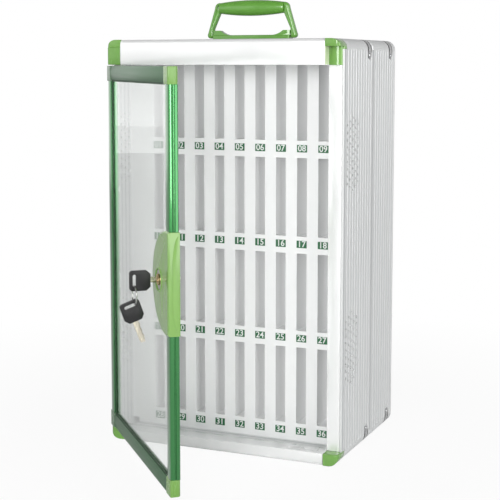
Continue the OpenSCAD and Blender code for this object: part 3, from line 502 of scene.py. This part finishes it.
for nodeName in easing:
    easedPiece(nodeName)
print("edges eased")

# the raised half-moon on the end of the lock housing: its size, and its place on the door
halfMoon = {"width": 0.0062, "straight": 0.016, "end": 0.029, "thick": 0.0003, "steps": 96, "soft": 0.00022,
            "softSteps": 3, "smooth": 40, "along": 0.2611, "inner": 0.001, "up": 0.2165}

deselectAll()
bpy.ops.mesh.primitive_circle_add(vertices=halfMoon["steps"], radius=1, fill_type="NGON")
moonPlate = bpy.context.object
moonPlate.name = "housingHalfMoon"
bpy.ops.object.mode_set(mode="EDIT")
bpy.ops.mesh.bisect(plane_co=(0, 0, 0), plane_no=(1, 0, 0), clear_outer=True, use_fill=False)
bpy.ops.mesh.select_all(action="SELECT")
bpy.ops.transform.resize(value=(halfMoon["width"], halfMoon["end"], 1), center_override=(0, 0, 0))
bpy.ops.mesh.bisect(plane_co=(0, 0, 0), plane_no=(0, 1, 0), clear_inner=False, clear_outer=False)
for way in (1, -1):
    selectIn(moonPlate, "VERT", lambda corner: corner.co.y * way > edgePick["level"])
    bpy.ops.transform.translate(value=(0, way * halfMoon["straight"], 0))
bpy.ops.mesh.select_all(action="SELECT")
bpy.ops.mesh.extrude_region_move(TRANSFORM_OT_translate={"value": (0, 0, halfMoon["thick"])})
bpy.ops.mesh.select_all(action="SELECT")
bpy.ops.mesh.normals_make_consistent(inside=False)
bpy.ops.object.mode_set(mode="OBJECT")
moonPlate.location = doorPoint(halfMoon["along"], halfMoon["inner"], halfMoon["up"])
moonPlate.rotation_euler = (math.radians(90), 0, math.radians(90 - door["open"]))
placeInMesh(moonPlate)
softened = moonPlate.modifiers.new("softened", "BEVEL")
softened.width = halfMoon["soft"]
softened.segments = halfMoon["softSteps"]
softened.limit_method = "ANGLE"
applyAll(moonPlate)
bpy.ops.object.shade_smooth_by_angle(angle=math.radians(halfMoon["smooth"]))
moonPlate.data.materials.append(paints["lock_green"])
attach(moonPlate, "door")
print("half-moon made")

# the upright bead below the hood of the lock side's top cap
capBead = {"middle": 0.1262, "half": 0.0064, "proud": 0.0025, "face": -0.081, "low": 0.418, "high": 0.437,
           "steps": 144, "smooth": 30}
capBead["radius"] = (capBead["half"] ** 2 + capBead["proud"] ** 2) / (2 * capBead["proud"])

deselectAll()
bpy.ops.mesh.primitive_cylinder_add(
    vertices=capBead["steps"], radius=capBead["radius"], depth=capBead["high"] - capBead["low"],
    location=(capBead["middle"], capBead["face"] - capBead["proud"] + capBead["radius"],
              (capBead["high"] + capBead["low"]) / 2))
bead = bpy.context.object
bead.name = "capBead"
placeInMesh(bead)
bpy.ops.object.mode_set(mode="EDIT")
bpy.ops.mesh.select_all(action="SELECT")
bpy.ops.mesh.bisect(plane_co=(0, capBead["face"], 0), plane_no=(0, 1, 0), clear_outer=True, use_fill=True)
bpy.ops.mesh.select_all(action="SELECT")
bpy.ops.mesh.normals_make_consistent(inside=False)
bpy.ops.object.mode_set(mode="OBJECT")
bpy.ops.object.shade_smooth_by_angle(angle=math.radians(capBead["smooth"]))
bead.data.materials.append(paints["cap_green"])

# a thin sheet on the end of the top rail, inside that cap's recess; its pale cream-green is a painted
# reflection of the green cap
railEnd = {"x": 0.1182, "thick": 0.0003, "front": -0.0935, "back": -0.0815, "low": 0.4184, "high": 0.4368,
           "soft": 0.0001}

deselectAll()
bpy.ops.mesh.primitive_cube_add(size=1, location=(railEnd["x"], (railEnd["front"] + railEnd["back"]) / 2,
                                                  (railEnd["low"] + railEnd["high"]) / 2))
reflectionSheet = bpy.context.object
reflectionSheet.name = "railEndReflectionSheet"
reflectionSheet.scale = (railEnd["thick"], railEnd["back"] - railEnd["front"], railEnd["high"] - railEnd["low"])
placeInMesh(reflectionSheet)
plateEase = reflectionSheet.modifiers.new("ease", "BEVEL")
plateEase.width = railEnd["soft"]
applyAll(reflectionSheet)
# the sheet's colour is a painted reflection
reflectionSheet.data.materials.append(mouldedPlastic("railEndPaintedReflection", (0.70, 0.78, 0.56), (0.66, 0.75, 0.51), 0.2,
                                              coat=0.5))
for piece in (bead, reflectionSheet):
    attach(piece, "case")
print("cap bead made")

# plain white numbers on the labels, from the top left
numbers = {"size": 0.0094, "bold": 0.00012, "raise": 0.00012, "curve": 3, "rows": 4, "columns": 9,
           "pitch": 0.0244, "rowPitch": 0.1038, "lowest": 0.0171, "front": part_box("number_labels")[0][1]}

printPaint = mouldedPlastic("numberPrint", (0.80, 0.82, 0.80), (0.76, 0.78, 0.76), 0.5)
signs = []
for row in range(numbers["rows"]):
    for column in range(numbers["columns"]):
        deselectAll()
        bpy.ops.object.text_add(rotation=(math.radians(90), 0, 0))
        sign = bpy.context.object
        sign.data.body = "%02d" % (row * numbers["columns"] + column + 1)
        sign.data.align_x = "CENTER"
        sign.data.align_y = "CENTER"
        sign.data.size = numbers["size"]
        sign.data.resolution_u = numbers["curve"]
        sign.data.offset = numbers["bold"]
        sign.data.extrude = numbers["raise"] / 2
        bpy.ops.object.convert(target="MESH")
        sign = bpy.context.object
        sign.location = ((column - (numbers["columns"] - 1) / 2) * numbers["pitch"],
                         numbers["front"] - numbers["raise"] / 2,
                         numbers["lowest"] + (numbers["rows"] - 1 - row) * numbers["rowPitch"])
        placeInMesh(sign)
        signs.append(sign)
deselectAll()
for sign in signs:
    sign.select_set(True)
bpy.context.view_layer.objects.active = signs[0]
bpy.ops.object.join()
slotNumbers = bpy.context.object
slotNumbers.name = "slotNumbers"
slotNumbers.data.materials.clear()
slotNumbers.data.materials.append(printPaint)
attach(slotNumbers, "case")
print("numbers printed")

# a pale floor that glows white to the camera, a little less near the case so that its shadow shows
ground = {"size": 12, "height": -0.0002, "tones": ((0.87, 0.87, 0.87), (0.9, 0.9, 0.9)),
          "clouds": {"scale": 3}, "roughness": 0.7, "specular": 0.2,
          "nearGlow": 0.92, "glowFrom": 0.25, "glowTo": 0.7}

deselectAll()
bpy.ops.mesh.primitive_plane_add(size=ground["size"], location=(0, 0, ground["height"]))
floor = bpy.context.object
floor.name = "studioFloor"
floorPaint = Finish("floorPaint", Roughness=ground["roughness"], Specular_IOR_Level=ground["specular"])
floorPaint.feed("Base Color", floorPaint.colours(floorPaint.noise(**ground["clouds"]), *ground["tones"]))
away = floorPaint.node("ShaderNodeVectorMath", {"operation": "LENGTH"}, {0: floorPaint.place()}, out=1)
glowShare = floorPaint.between(ground["nearGlow"], 1, away, ground["glowFrom"], ground["glowTo"])
floorPaint.glow(floorPaint.seen() * glowShare)
floor.data.materials.append(floorPaint.material)

# the surround is white to the camera, and it lights the case from all sides, less from above;
# each lamp has its power, its size and its place
studio = {"horizon": 0.62, "zenith": 0.2, "lowest": 0.1, "highest": 0.8, "aim": (0, 0, 0.25),
          "lamps": {"key": (26, 1.0, (0.3, -2.3, 0.75)), "side": (37, 2.2, (2.3, -0.9, 0.8)),
                    "left": (7, 2.0, (-1.8, -2.0, 0.7)), "back": (38, 5, (-3.6, 2.5, 1.1))}}

for name, (power, size, place) in studio["lamps"].items():
    bpy.ops.object.light_add(type="AREA", location=place)
    lamp = bpy.context.object
    lamp.name = name + "Lamp"
    lamp.data.energy = power
    lamp.data.size = size
    lamp.rotation_euler = (Vector(studio["aim"]) - Vector(place)).to_track_quat("-Z", "Y").to_euler()


# the surround takes nodes as the finishes do
class Surround(Finish):
    def __init__(self, world):
        world.use_nodes = True
        self.tree = world.node_tree
        self.shader = self.tree.nodes["Background"]
        self.shader.inputs["Color"].default_value = (1, 1, 1, 1)


world = bpy.context.scene.world or bpy.data.worlds.new("studioWorld")
bpy.context.scene.world = world
surround = Surround(world)
aim = surround.node("ShaderNodeTexCoord", out="Generated")
height = surround.node("ShaderNodeSeparateXYZ", None, {"Vector": aim}, out=2)
surround.feed("Strength", surround.between(studio["horizon"], studio["zenith"], height, studio["lowest"],
                                           studio["highest"]))
surround.glow(surround.seen())
bpy.context.scene.view_settings.view_transform = "Standard"
print("studio lit")

bpy.context.view_layer.update()
